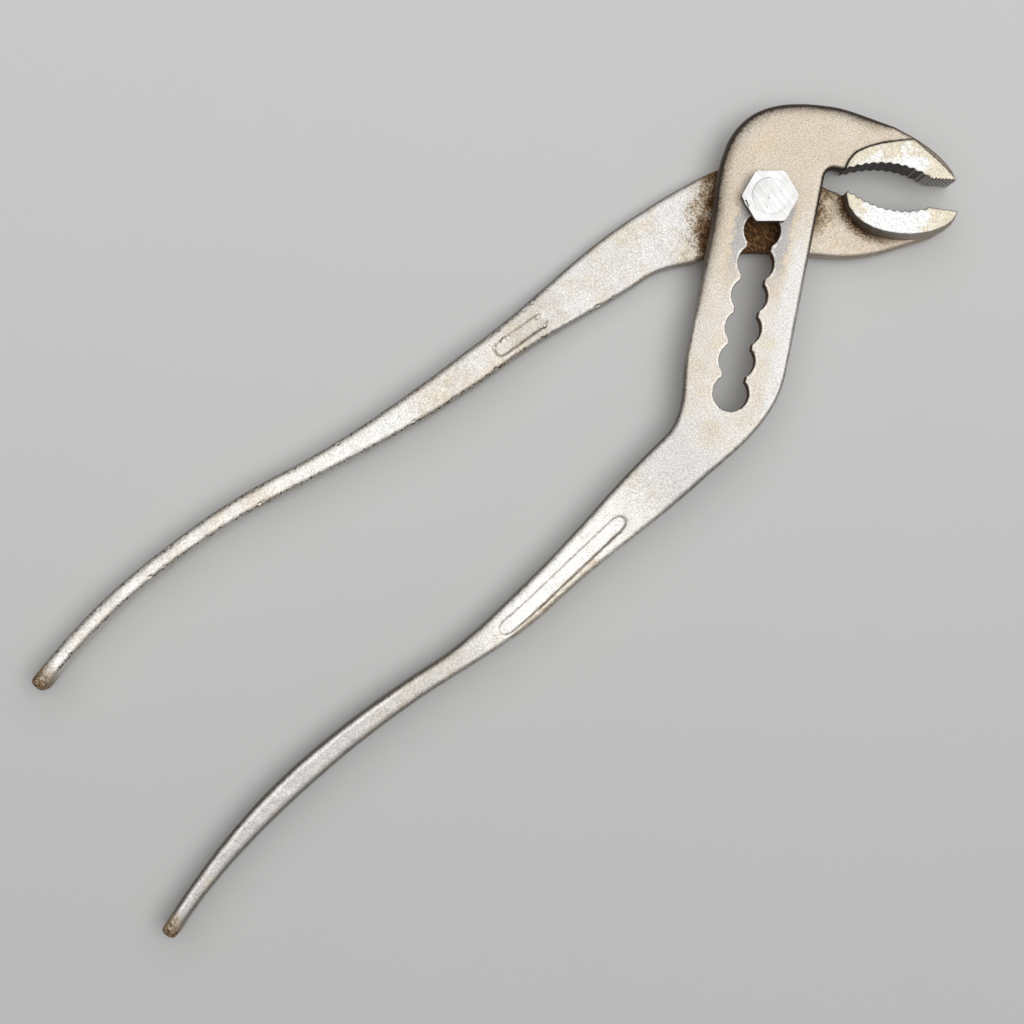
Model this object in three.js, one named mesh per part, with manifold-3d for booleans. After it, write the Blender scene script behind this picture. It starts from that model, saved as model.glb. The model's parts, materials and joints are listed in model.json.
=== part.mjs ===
// Water pump pliers with a stepped slot, lying flat with the nut upwards.
// Millimetres, +Z up. The origin is on the pivot axis, in the plane of the back faces,
// with the pivot in the slot's first step. +X runs along the tool, from the handles to the jaws.
import * as THREE from 'three';
import { mergeVertices } from 'three/addons/utils/BufferGeometryUtils.js';
import Module from 'manifold-3d';

// How the tool lies and how far it is open
const layAngle = 31; // from the length of the tool down to the slotted arm's bite line, degrees
const jawOpening = 9; // between the two bite lines, degrees
const biteAngle = 16; // from square to the slot up to the bite line, degrees

// Thicknesses and levels
const plateThickness = 6.2;
const plateGap = 0.4; // between the two plates
const jawProud = 0.8; // the jaw faces above the slotted plate
const plateEdge = 0.9; // rounding of the plates' edges
const handleBase = 1; // underside of the handles above the back plane
const handleDepth = 10.4;
const handleRound = 1.3; // rounding of the handles' long edges
const blendStep = 0.05; // the shanks start this much inside the plates

// Pivot bolt and nut
const shankDiameter = 8;
const shankFlats = 5.2; // across the two flats that slide through the slot's necks
const boltHeadDiameter = 13;
const boltHeadLand = 0.6; // straight rim of the countersunk head
const journalClearance = 0.3; // round the bolt, in the plain arm
const nutAcrossFlats = 11.7;
const nutThickness = 4.2;
const nutSides = 6;
const nutChamfer = 0.35;
const nutTurn = 11; // of a corner, from square to the slot, degrees
const nutSeatGap = 0.2; // under the nut
const threadClearance = 0.25;
const peenRise = 0.25; // the bolt's end above the nut
const peenRound = 0.7;

// Slot with its steps
const slotPitch = 7.8;
const slotSteps = 6; // moves between the first place and the last
const lobeClearance = 0.25; // round the shank, in each step
const neckClearance = 0.2; // beside each flat, in the necks

// Slotted arm: across the slot towards the jaws, and along the slot towards the head
const plateHalfWidth = 12;
const backFoot = [0, -9]; // where the head's back leaves the straight side
const backSwell = [[-1.6, 8], [-3.8, 23.6]]; // pull points of the back, from the straight side
const headCrown = [10.5, 24.5];
const crownPull = [21.7, 24.5]; // pull points of the head's top, from the crown
const nosePull = [-3.9, 6.9]; // and from the tip
const throatLevel = 9.8; // edge of the plate between the throat and the jaw
const throatRound = 2.2;
const throatLand = 2.3; // from the throat's round to the heel of the jaw
const shoulderRise = 7; // the straight sides end this far above the last step
const footLap = 4; // the plates run this far into the shanks
const footInset = 1.6;

// Jaws: along the bite line from the pivot, or back from the tip where it says so, and across it
const jawReach = 44.5;
const upperLand = 6.2; // flat nose of the slotted jaw
const upperLandRise = 0.9;
const archPull = [30.3, 7.4];
const padBack = [[19.8, 10.2], [26.4, 10.8]]; // inner side of the raised jaw face
const padEnd = [9.3, 10.7]; // back from the tip
const padNose = [[6.4, 7.8], [2.4, 3.8]]; // back from the tip
const noseDrop = 0.4; // the face stops this far short of the tip
const noseRise = 0.5;
const upperCore = [[4, 2.6], [13.5, 8]]; // the plate's edge inside the jaw block, back from the tip
const heelCore = [22.5, 7.5]; // the same edge near the heel
const lowerLand = 7; // flat nose of the plain jaw
const lowerLandRise = 0.5;
const lowerHeel = [18.4, 3.2];
const hollowPull = [29, -2.9];
const bossNose = [2.5, -8.4]; // pull point of the raised block's outer side, back from the tip
const bossBelly = [19.2, -9.1];
const bossHeel = [18, 2];
const toothPitch = 1.9;
const toothDepth = 0.5;
const serrationPitch = 0.6;
const serrationDepth = 0.25;

// Plain arm's plate, in the same terms
const plateTip = [[0.9, -1.3], [1.3, -3]]; // blunt end under the jaw block, back from the tip
const jawUnder = [[2.3, -4.7], [4.5, -6.2]]; // back from the tip
const jawFoot = [8.5, -7.4]; // back from the tip
const coreInset = 1.6; // the plate's edge lies this far inside the jaw block at its heel
const bellyPull = [[30, -9.8], [25, -12.2]];
const bellyEnd = [17, -12.3];
const bellyMiddle = [-1, -12.2];
const waistPull = [[-9, -12.6], [-14, -15]];
const waistEnd = [-21, -16.4];
const plainFoot = [[-25, -13.5], [-29, -8.5]];
const plainShoulder = [-28, -3.4];
const eyePull = [[-16, 5], [-9, 9.6]];
const eyeTop = [0, 9.8];
const notchPull = [[7, 9.8], [12, 4]];
const notchFloor = [16.4, 3.4];

// Shanks and handles: stretches of length and turn (degrees), with the half width at their ends
const slottedHeading = -90; // degrees
const slottedShoulder = { length: 26, turn: -36.3, half: 6.8 };
const slottedShank = { length: 46.3, turn: 1.2, half: 4.25 };
const slottedNeck = { length: 30.4, turn: -11.7, half: 2.7 };
const slottedGrip = { length: 42, turn: 10, half: 2.95 };
const slottedTail = { length: 48.2, turn: 15.7, half: 1.9 };
const plainStart = [-18, -7.8];
const plainHeading = 197; // degrees
const plainStartHalf = 8.2;
const plainShoulderBend = { length: 15.5, turn: 22, half: 6.9 };
const plainShank = { length: 40, turn: 2, half: 4.15 };
const plainNeck = { length: 57.3, turn: -10, half: 2.45 };
const plainGrip = { length: 39.8, turn: 12.3, half: 2.1 };
const plainTail = { length: 37.7, turn: 13.5, half: 2 };
const tipRound = 1.1; // at the handles' ends
const slottedTopFall = [30, 80]; // along the shank, from the plate's level to the handle's
const slottedBaseFall = [52, 82];
const plainTopRise = [28, 60];
const plainBaseRise = [20, 60];

// Bare stamped panels on the shanks
const panelDepth = 0.25;
const panelHalfWidth = 1.8;
const slottedPanel = { middle: 65.5, length: 40, shift: -0.7 }; // shift: across the shank
const plainPanel = { middle: 47.6, length: 15, shift: -0.5 };

// Fineness of the round forms
const curveSteps = 12;
const roundSteps = 32;
const edgeSteps = 2;
const cornerSteps = 3;
const stretchSteps = 10;
const panelSteps = 14;

// Levels and lists that follow from the sizes
const slottedBase = plateThickness + plateGap;
const slottedTop = slottedBase + plateThickness;
const jawTop = slottedTop + jawProud;
const handleTop = handleBase + handleDepth;
const nutBase = slottedTop + nutSeatGap;
const nutTop = nutBase + nutThickness;
const boltTop = nutTop + peenRise;
const slotEnd = -slotPitch * slotSteps;
const shoulderTop = slotEnd + shoulderRise;
const slottedStretches = [slottedShoulder, slottedShank, slottedNeck, slottedGrip, slottedTail];
const plainStretches = [plainShoulderBend, plainShank, plainNeck, plainGrip, plainTail];
const shankRadius = shankDiameter / 2;
const boltHeadRadius = boltHeadDiameter / 2;
const boltHeadDepth = boltHeadLand + boltHeadRadius - shankRadius;

const { degToRad, lerp, smoothstep } = THREE.MathUtils;
const wasm = await Module();
wasm.setup();

// Closed geometry to a solid for joining and cutting
function solid(geometry) {
  geometry.deleteAttribute('normal');
  geometry.deleteAttribute('uv');
  const merged = mergeVertices(geometry);
  const index = merged.index.array;
  const corners = [];
  for (let i = 0; i < index.length; i += 3) {
    const [a, b, c] = index.slice(i, i + 3);
    if (a !== b && b !== c && c !== a) {
      corners.push(a, b, c);
    }
  }
  const vertProperties = new Float32Array(merged.attributes.position.array);
  const triVerts = new Uint32Array(corners);
  return new wasm.Manifold(new wasm.Mesh({ numProp: 3, vertProperties, triVerts }));
}

function meshOf(body, name, material) {
  const { vertProperties, triVerts } = body.getMesh();
  const geometry = new THREE.BufferGeometry();
  geometry.setAttribute('position', new THREE.BufferAttribute(new Float32Array(vertProperties), 3));
  geometry.setIndex(new THREE.BufferAttribute(new Uint32Array(triVerts), 1));
  geometry.computeVertexNormals();
  const mesh = new THREE.Mesh(geometry, material);
  mesh.name = name;
  return mesh;
}

// An outline raised between two levels, with rounded edges where an edge size is given
function slab(shape, low, high, edge = 0) {
  const geometry = new THREE.ExtrudeGeometry(shape, {
    depth: high - low - 2 * edge,
    curveSegments: curveSteps,
    bevelEnabled: edge > 0,
    bevelThickness: edge,
    bevelSize: edge,
    bevelOffset: -edge,
    bevelSegments: edgeSteps,
  });
  geometry.translate(0, 0, low + edge);
  return solid(geometry);
}

// A profile of radius and level, turned about the pivot axis
function turned(profile) {
  const points = profile.map(([radius, level]) => new THREE.Vector2(radius, level));
  const geometry = new THREE.LatheGeometry(points, roundSteps);
  geometry.rotateX(Math.PI / 2);
  return solid(geometry);
}

// A path of bent stretches: place and heading at a distance along it
function walk(start, heading, stretches) {
  const knots = [{ at: 0, x: start[0], y: start[1], heading: degToRad(heading) }];
  const move = (knot, run, bend) => {
    const half = bend / 2;
    const chord = half ? run * Math.sin(half) / half : run;
    return {
      at: knot.at + run,
      x: knot.x + chord * Math.cos(knot.heading + half),
      y: knot.y + chord * Math.sin(knot.heading + half),
      heading: knot.heading + bend,
    };
  };
  for (const { length, turn } of stretches) {
    knots.push(move(knots.at(-1), length, degToRad(turn)));
  }
  const stretchAt = (distance) => {
    const last = stretches.length - 1;
    const found = knots.findIndex((knot) => knot.at > distance);
    return found < 1 ? last : found - 1;
  };
  const place = (distance) => {
    const i = stretchAt(distance);
    const run = distance - knots[i].at;
    return move(knots[i], run, degToRad(stretches[i].turn) * run / stretches[i].length);
  };
  return { knots, stretchAt, place, length: knots.at(-1).at };
}

// Half width of a shank and handle, eased from the end of one stretch to the end of the next
function widthAlong(path, startHalf, stretches) {
  return (distance) => {
    const i = path.stretchAt(distance);
    const before = i > 0 ? stretches[i - 1].half : startHalf;
    return lerp(before, stretches[i].half, smoothstep(distance, path.knots[i].at, path.knots[i + 1].at));
  };
}

// A body of rounded oblong sections along a path
function sweep(path, distances, section) {
  const positions = [];
  const around = 4 * (cornerSteps + 1);
  for (const distance of distances) {
    const { x, y, heading } = path.place(distance);
    const { half, low, high, round, shift = 0 } = section(distance);
    const r = Math.min(round, half, (high - low) / 2);
    const corners = [
      [half - r, high - r, 0],
      [r - half, high - r, 1],
      [r - half, low + r, 2],
      [half - r, low + r, 3],
    ];
    for (const [across, level, quarter] of corners) {
      for (let k = 0; k <= cornerSteps; k++) {
        const angle = (quarter + k / cornerSteps) * Math.PI / 2;
        const side = shift + across + r * Math.cos(angle);
        const rise = level + r * Math.sin(angle);
        positions.push(x + side * Math.sin(heading), y - side * Math.cos(heading), rise);
      }
    }
  }
  const index = [];
  for (let row = 0; row < distances.length - 1; row++) {
    for (let k = 0; k < around; k++) {
      const a = row * around + k;
      const b = row * around + (k + 1) % around;
      index.push(a, a + around, b, b, a + around, b + around);
    }
  }
  const last = (distances.length - 1) * around;
  for (let k = 1; k < around - 1; k++) {
    index.push(0, k, k + 1, last, last + k + 1, last + k);
  }
  const geometry = new THREE.BufferGeometry();
  geometry.setAttribute('position', new THREE.Float32BufferAttribute(positions, 3));
  geometry.setIndex(index);
  return solid(geometry);
}

// Distances along a handle, closer together at its rounded end
function handleDistances(path) {
  const places = [];
  path.knots.slice(0, -1).forEach((knot, i) => {
    for (let k = 0; k < stretchSteps; k++) {
      places.push(lerp(knot.at, path.knots[i + 1].at, k / stretchSteps));
    }
  });
  for (let k = 0; k <= cornerSteps; k++) {
    places.push(path.length - tipRound * (1 - Math.sin(k / cornerSteps * Math.PI / 2)));
  }
  return places;
}

// How much a rounded end has drawn in at a distance before the end
function tipInset(left) {
  const lack = Math.max(tipRound - left, 0);
  return tipRound - Math.sqrt(Math.max(tipRound ** 2 - lack ** 2, 0));
}

function handle(path, width, low, high) {
  return sweep(path, handleDistances(path), (distance) => {
    const inset = tipInset(path.length - distance);
    return {
      half: width(distance) - inset,
      low: low(distance) + inset,
      high: high(distance) - inset,
      round: lerp(plateEdge, handleRound, smoothstep(distance, 0, path.knots[2].at)),
    };
  });
}

// A shallow pocket with round ends, following the top of a shank
function panel(path, { middle, length, shift }, high) {
  const distances = [];
  for (let k = 0; k <= panelSteps; k++) {
    distances.push(middle - Math.cos(k / panelSteps * Math.PI) * length / 2);
  }
  return sweep(path, distances, (distance) => {
    const left = length / 2 - Math.abs(distance - middle);
    const lack = Math.max(panelHalfWidth - left, 0);
    const half = Math.max(Math.sqrt(Math.max(panelHalfWidth ** 2 - lack ** 2, 0)), panelDepth);
    const top = high(distance);
    return { half, low: top - panelDepth, high: top + panelDepth, round: panelDepth / 2, shift };
  });
}

// Points of a toothed edge along a curve, with the body on the left of the way along it
function toothed(curve, pitch, depth) {
  const halves = 2 * Math.max(1, Math.round(curve.getLength() / pitch));
  const points = [];
  for (let i = 0; i <= halves; i++) {
    const sink = i % 2 ? depth : 0;
    const point = curve.getPointAt(i / halves);
    const tangent = curve.getTangentAt(i / halves);
    points.push(new THREE.Vector2(point.x - tangent.y * sink, point.y + tangent.x * sink));
  }
  return points;
}

// A point along and across the slotted arm's bite line, in that arm's own terms
function bite([along, across]) {
  const angle = degToRad(biteAngle);
  return new THREE.Vector2(along, across).rotateAround(new THREE.Vector2(), angle);
}

function vector([x, y]) {
  return new THREE.Vector2(x, y);
}

// A point given back from the jaws' tips, measured from the pivot
function fromTip([back, across]) {
  return [jawReach - back, across];
}

function upperHeel() {
  return new THREE.Vector2(plateHalfWidth + throatRound + throatLand, throatLevel);
}

function curveTo(shape, [first, second], end) {
  shape.bezierCurveTo(first.x, first.y, second.x, second.y, end.x, end.y);
}

// Slot with a round step at each place of the bolt and straight necks between them
function slotShape() {
  const radius = shankRadius + lobeClearance;
  const neck = shankFlats / 2 + neckClearance;
  const meet = Math.acos(neck / radius);
  const quarter = Math.PI / 2;
  const shape = new THREE.Shape();
  for (let i = 0; i <= slotSteps; i++) {
    const from = i === 0 ? quarter : meet;
    const to = i === slotSteps ? -quarter : -meet;
    shape.absarc(0, -slotPitch * i, radius, from, to, true);
  }
  for (let i = slotSteps; i >= 0; i--) {
    const from = i === slotSteps ? -quarter : meet - Math.PI;
    const to = i === 0 ? -3 * quarter : -meet - Math.PI;
    shape.absarc(0, -slotPitch * i, radius, from, to, true);
  }
  return shape;
}

function slottedPlate() {
  const tip = bite([jawReach, noseRise]);
  const foot = shoulderTop - footLap;
  const fromSide = ([x, y]) => new THREE.Vector2(x - plateHalfWidth, y);
  const shape = new THREE.Shape();
  shape.moveTo(footInset - plateHalfWidth, foot);
  shape.lineTo(-plateHalfWidth, shoulderTop);
  shape.lineTo(backFoot[0] - plateHalfWidth, backFoot[1]);
  curveTo(shape, backSwell.map(fromSide), vector(headCrown));
  curveTo(shape, [vector(crownPull), vector(nosePull).add(tip)], tip);
  const core = [...upperCore.map(fromTip), heelCore].map(bite);
  [...core, upperHeel()].forEach((point) => shape.lineTo(point.x, point.y));
  const throat = [plateHalfWidth + throatRound, throatLevel - throatRound];
  shape.lineTo(throat[0], throatLevel);
  shape.absarc(...throat, throatRound, Math.PI / 2, Math.PI, false);
  shape.lineTo(plateHalfWidth, shoulderTop);
  shape.lineTo(plateHalfWidth - footInset, foot);
  return shape;
}

function slottedJaw() {
  const heel = upperHeel();
  const landStart = bite([jawReach - upperLand, upperLandRise]);
  const tip = bite([jawReach, 0]);
  const nose = bite([jawReach - noseDrop, noseRise]);
  const arch = new THREE.QuadraticBezierCurve(heel, bite(archPull), landStart);
  const land = new THREE.LineCurve(landStart, tip);
  const shape = new THREE.Shape();
  shape.setFromPoints([
    ...toothed(arch, toothPitch, toothDepth),
    ...toothed(land, serrationPitch, serrationDepth).slice(1),
    nose,
  ]);
  curveTo(shape, padNose.map(fromTip).map(bite).reverse(), bite(fromTip(padEnd)));
  curveTo(shape, padBack.map(bite).reverse(), heel);
  return shape;
}

function slottedArm() {
  const path = walk([0, shoulderTop], slottedHeading, slottedStretches);
  const width = widthAlong(path, plateHalfWidth, slottedStretches);
  const low = (s) => lerp(slottedBase + blendStep, handleBase, smoothstep(s, ...slottedBaseFall));
  const high = (s) => lerp(slottedTop - blendStep, handleTop, smoothstep(s, ...slottedTopFall));
  return slab(slottedPlate(), slottedBase, slottedTop, plateEdge)
    .add(handle(path, width, low, high))
    .add(slab(slottedJaw(), 0, jawTop))
    .subtract(slab(slotShape(), slottedBase - plateGap, nutBase))
    .subtract(panel(path, slottedPanel, high));
}

function plainPlate() {
  const shape = new THREE.Shape();
  const [upperEnd, lowerEnd] = plateTip.map(fromTip);
  shape.moveTo(...upperEnd);
  shape.lineTo(...lowerEnd);
  curveTo(shape, jawUnder.map(fromTip).map(vector), vector(fromTip(jawFoot)));
  curveTo(shape, bellyPull.map(vector), vector(bellyEnd));
  shape.lineTo(...bellyMiddle);
  curveTo(shape, waistPull.map(vector), vector(waistEnd));
  plainFoot.forEach((point) => shape.lineTo(...point));
  shape.lineTo(...plainShoulder);
  curveTo(shape, eyePull.map(vector), vector(eyeTop));
  curveTo(shape, notchPull.map(vector), vector(notchFloor));
  shape.lineTo(lowerHeel[0] + coreInset, lowerHeel[1] - coreInset);
  shape.lineTo(...hollowPull);
  return shape;
}

function plainJaw() {
  const tip = vector([jawReach, 0]);
  const landEnd = vector([jawReach - lowerLand, lowerLandRise]);
  const land = new THREE.LineCurve(tip, landEnd);
  const hollow = new THREE.QuadraticBezierCurve(landEnd, vector(hollowPull), vector(lowerHeel));
  const shape = new THREE.Shape();
  shape.setFromPoints([
    ...toothed(land, serrationPitch, serrationDepth),
    ...toothed(hollow, toothPitch, toothDepth).slice(1),
    vector(bossHeel),
  ]);
  curveTo(shape, [vector(bossBelly), vector(fromTip(bossNose))], vector([jawReach, -noseRise]));
  return shape;
}

// The bolt's head and journal, or with a clearance the hole that takes them
function journalProfile(clearance, start, end) {
  return [
    [0, start],
    [boltHeadRadius + clearance, start],
    [boltHeadRadius + clearance, boltHeadLand],
    [shankRadius + clearance, boltHeadDepth],
    [shankRadius + clearance, end],
  ];
}

function plainArm() {
  const path = walk(plainStart, plainHeading, plainStretches);
  const width = widthAlong(path, plainStartHalf, plainStretches);
  const low = (s) => lerp(blendStep, handleBase, smoothstep(s, ...plainBaseRise));
  const high = (s) => lerp(plateThickness - blendStep, handleTop, smoothstep(s, ...plainTopRise));
  const hole = turned([...journalProfile(journalClearance, -plateGap, slottedBase), [0, slottedBase]]);
  return slab(plainPlate(), 0, plateThickness, plateEdge)
    .add(handle(path, width, low, high))
    .add(slab(plainJaw(), 0, jawTop))
    .subtract(hole)
    .subtract(panel(path, plainPanel, high));
}

function pivotBolt() {
  const profile = journalProfile(0, 0, boltTop - peenRound);
  const body = turned([...profile, [shankRadius - peenRound, boltTop], [0, boltTop]]);
  const flatLow = plateThickness + plateGap / 2;
  const flatHigh = slottedTop + nutSeatGap / 2;
  const flat = new THREE.BoxGeometry(shankDiameter, 2 * shankDiameter, flatHigh - flatLow);
  flat.translate((shankFlats + shankDiameter) / 2, 0, (flatLow + flatHigh) / 2);
  const opposite = flat.clone().rotateZ(Math.PI);
  return body.subtract(solid(flat)).subtract(solid(opposite));
}

function pivotNut() {
  const cornerRadius = nutAcrossFlats / 2 / Math.cos(Math.PI / nutSides);
  const corners = [];
  for (let i = 0; i < nutSides; i++) {
    const angle = 2 * Math.PI * i / nutSides;
    corners.push(new THREE.Vector2(cornerRadius, 0).rotateAround(new THREE.Vector2(), angle));
  }
  const rimRadius = cornerRadius - nutChamfer;
  const rimDrop = nutChamfer / 2;
  const chamfered = turned([
    [0, nutBase],
    [cornerRadius, nutBase],
    [cornerRadius, nutTop - rimDrop],
    [rimRadius, nutTop],
    [0, nutTop],
  ]);
  const boreRadius = shankRadius + threadClearance;
  const bore = turned([[0, slottedTop], [boreRadius, slottedTop], [boreRadius, boltTop], [0, boltTop]]);
  return slab(new THREE.Shape(corners), nutBase, nutTop).intersect(chamfered).subtract(bore);
}

const forgedSteel = new THREE.MeshStandardMaterial({ color: 0xb9b0a3, roughness: 0.55, metalness: 0.85 });
const dullSteel = new THREE.MeshStandardMaterial({ color: 0xa89e90, roughness: 0.6, metalness: 0.85 });
const boltSteel = new THREE.MeshStandardMaterial({ color: 0xc8c6c2, roughness: 0.35, metalness: 0.95 });
const nutSteel = new THREE.MeshStandardMaterial({ color: 0xd2d0cc, roughness: 0.3, metalness: 0.95 });

const pliers = new THREE.Group();
pliers.rotation.z = -degToRad(layAngle);

const slotted = meshOf(slottedArm(), 'slotted_arm', forgedSteel);
slotted.rotation.z = -degToRad(biteAngle);

const plain = meshOf(plainArm(), 'plain_arm', dullSteel);
plain.rotation.z = -degToRad(jawOpening);

const pivot = new THREE.Group();
pivot.rotation.z = -degToRad(biteAngle);
const nut = meshOf(pivotNut(), 'pivot_nut', nutSteel);
nut.rotation.z = degToRad(nutTurn);
pivot.add(meshOf(pivotBolt(), 'pivot_bolt', boltSteel), nut);

pliers.add(slotted, plain, pivot);
export default pliers;
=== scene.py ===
# %% [markdown]
# Water pump pliers, a lesson in four pieces: two forged arms, a bolt and a nut. The CAD frame already has
# every piece at its real size and place, and the joints that move them. This script keeps those places
# and gives each piece its forged or turned surface and its worn finish.

# %% Load the frame
import json
import math

import bpy
import numpy as np
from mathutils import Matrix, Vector
from mathutils.kdtree import KDTree


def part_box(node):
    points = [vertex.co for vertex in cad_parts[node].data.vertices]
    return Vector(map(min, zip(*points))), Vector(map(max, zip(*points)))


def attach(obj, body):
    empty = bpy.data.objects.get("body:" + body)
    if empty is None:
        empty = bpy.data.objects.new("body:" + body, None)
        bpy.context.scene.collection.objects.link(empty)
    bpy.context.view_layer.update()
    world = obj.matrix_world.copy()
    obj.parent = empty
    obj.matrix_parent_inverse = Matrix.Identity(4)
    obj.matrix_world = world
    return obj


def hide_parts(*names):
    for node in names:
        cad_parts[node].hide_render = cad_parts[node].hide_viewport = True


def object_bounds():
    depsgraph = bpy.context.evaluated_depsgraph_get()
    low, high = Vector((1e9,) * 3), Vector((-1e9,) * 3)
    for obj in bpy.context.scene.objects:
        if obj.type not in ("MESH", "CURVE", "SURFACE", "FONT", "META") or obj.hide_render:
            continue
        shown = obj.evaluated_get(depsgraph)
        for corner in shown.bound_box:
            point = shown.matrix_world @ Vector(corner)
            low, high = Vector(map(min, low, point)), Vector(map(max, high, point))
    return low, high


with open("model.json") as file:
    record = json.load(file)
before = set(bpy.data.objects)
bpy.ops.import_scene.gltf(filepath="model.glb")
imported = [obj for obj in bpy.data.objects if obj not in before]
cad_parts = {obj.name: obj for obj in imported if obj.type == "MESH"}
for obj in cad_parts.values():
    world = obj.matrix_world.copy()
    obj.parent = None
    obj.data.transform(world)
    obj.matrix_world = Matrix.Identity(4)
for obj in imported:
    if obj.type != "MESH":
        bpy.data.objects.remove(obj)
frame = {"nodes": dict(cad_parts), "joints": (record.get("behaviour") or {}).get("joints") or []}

MM = 0.001
cad_low, cad_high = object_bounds()
cad_size = [round(v / MM, 1) for v in cad_high - cad_low]
print("pieces in the frame:", sorted(frame["nodes"]), "size in mm:", cad_size)

# %% [markdown]
# The pliers lie askew in the frame: +X runs along the whole tool, while the slot and the jaws have lines
# of their own. The slide joint's axis is the slot's line and its travel spans the slot's seven steps, so
# both are read from the joint and not typed again. The jaws' lines of bite are measured from the slot.

# %% Lines of the tool
slide = next(joint for joint in frame["joints"] if joint["type"] == "slide")
slot_down = Vector(slide["axis"]).normalized()
slot_turn = math.atan2(-slot_down.x, -slot_down.y)
slot_travel = slide["range_m"][1]
slot_steps = 7
slot_pitch = slot_travel / (slot_steps - 1)
bite_turn = slot_turn - math.radians(16)
plain_bite_turn = bite_turn + math.radians(9)
print("slot is turned by", round(math.degrees(slot_turn), 2), "degrees, travel", slot_travel, "m")

# %% [markdown]
# Blender's operators act on what is selected, and the frame's nodes arrive selected. So one helper
# deselects everything and makes a single piece active before any operator runs. The others apply a
# modifier as soon as it is set, cut one piece with another, move a piece's place into its mesh and count
# its triangles.

# %% Helpers for operators


def choose(*pieces):
    if bpy.context.object and bpy.context.object.mode != "OBJECT":
        bpy.ops.object.mode_set(mode="OBJECT")
    bpy.ops.object.select_all(action="DESELECT")
    for piece in pieces:
        piece.select_set(True)
    bpy.context.view_layer.objects.active = pieces[-1]


def modify(piece, kind, **settings):
    choose(piece)
    bpy.ops.object.modifier_add(type=kind)
    modifier = piece.modifiers[-1]
    for name, value in settings.items():
        setattr(modifier, name, value)
    bpy.ops.object.modifier_apply(modifier=modifier.name)


def cut(piece, tool, operation="DIFFERENCE", solver="EXACT"):
    modify(piece, "BOOLEAN", object=tool, operation=operation, solver=solver)
    bpy.data.objects.remove(tool)


def settle(piece):
    choose(piece)
    bpy.ops.object.transform_apply(location=True, rotation=True, scale=True)


def triangles(piece):
    piece.data.calc_loop_triangles()
    return len(piece.data.loop_triangles)


# %% [markdown]
# Each arm is one drop forging: a plate, a jaw and a handle that flow into each other, with edges that the
# die left round. It could be built again from primitives, but the CAD solid already has the outline, the
# teeth and the stamped panels. So a copy of the solid is merged and remeshed to small even squares, which
# gives enough points to round and dent it.

# %% Copy a solid as fine clay
fine_grid = 0.26 * MM
weld = 0.0005 * MM


def clay_from(node, name):
    piece = bpy.data.objects.new(name, frame["nodes"][node].data.copy())
    bpy.context.scene.collection.objects.link(piece)
    piece.data.materials.clear()
    choose(piece)
    bpy.ops.object.mode_set(mode="EDIT")
    bpy.ops.mesh.select_all(action="SELECT")
    bpy.ops.mesh.remove_doubles(threshold=weld)
    bpy.ops.object.mode_set(mode="OBJECT")
    modify(piece, "REMESH", mode="VOXEL", voxel_size=fine_grid)
    print(name, "has", len(piece.data.vertices), "points")
    return piece


slotted_arm = clay_from("slotted_arm", "slotted_arm_forging")
plain_arm = clay_from("plain_arm", "plain_arm_forging")

# %% [markdown]
# A forging is round where the die shaped it and crisp where a cutter went over it afterwards: the slot,
# the teeth and the jaw faces. The two kinds of surface could be picked by hand, but there are too many
# points for that. So each point's place is turned into the lines of the jaw and of the slot, and a few
# lengths decide.

# %% Choose the crisp places
jaw_start = 16 * MM
jaw_depth = 12 * MM
lobe_radius = 4.25 * MM
slot_reach = lobe_radius + 1.5 * MM


def coordinates(piece):
    flat = np.empty(len(piece.data.vertices) * 3, np.float32)
    piece.data.vertices.foreach_get("co", flat)
    return flat.reshape(-1, 3)


def along_and_across(points, turn):
    along = points[:, 0] * math.cos(turn) - points[:, 1] * math.sin(turn)
    across = points[:, 0] * math.sin(turn) + points[:, 1] * math.cos(turn)
    return along, across


def crisp_places(piece, jaw_turn, has_slot):
    points = coordinates(piece)
    along, across = along_and_across(points, jaw_turn)
    crisp = (along > jaw_start) & (np.abs(across) < jaw_depth)
    if has_slot:
        side, up = along_and_across(points, slot_turn)
        crisp |= (np.abs(side) < slot_reach) & (up < slot_reach) & (up > -slot_travel - slot_reach)
    return crisp


slotted_crisp = crisp_places(slotted_arm, bite_turn, has_slot=True)
plain_crisp = crisp_places(plain_arm, plain_bite_turn, has_slot=False)
print("crisp points:", int(slotted_crisp.sum()), "slotted arm,", int(plain_crisp.sum()), "plain arm")

# %% [markdown]
# Vertex groups let the Smooth modifier treat the two kinds differently. A few rounds everywhere only
# break the edges, and more rounds follow where the die left its soft shape. A second group is kept for
# the waves further on: it leaves out the underside, which lies level on the table.

# %% Round the forgings
weight_steps = 10
level_under = 0.4 * MM
half_way = 0.5
crisp_rounds = 2
soft_rounds = 9


def ramp(values, start, end):
    return np.clip((values - start) / (end - start), 0, 1)


def group(piece, name, weight_by_place):
    made = piece.vertex_groups.new(name=name)
    steps = np.round(weight_by_place * weight_steps).astype(int)
    for step in range(1, weight_steps + 1):
        chosen = np.nonzero(steps == step)[0].tolist()
        made.add(chosen, step / weight_steps, "REPLACE")


def round_the_forging(piece, crisp):
    group(piece, "forged", np.where(crisp, 0.0, 1.0))
    group(piece, "waved", np.where(crisp, 0.0, ramp(coordinates(piece)[:, 2], 0.0, level_under)))
    modify(piece, "SMOOTH", factor=half_way, iterations=crisp_rounds)
    modify(piece, "SMOOTH", factor=half_way, iterations=soft_rounds, vertex_group="forged")
    print(piece.name, "rounded")


round_the_forging(slotted_arm, slotted_crisp)
round_the_forging(plain_arm, plain_crisp)

# %% [markdown]
# The head has the widest rounding of the tool, along its back and over its top. A bevel would give it on
# a clean solid, but not on this fine grid. So a group starts a little way in from that edge, and many
# rounds of Smooth draw only the edge down.

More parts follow.
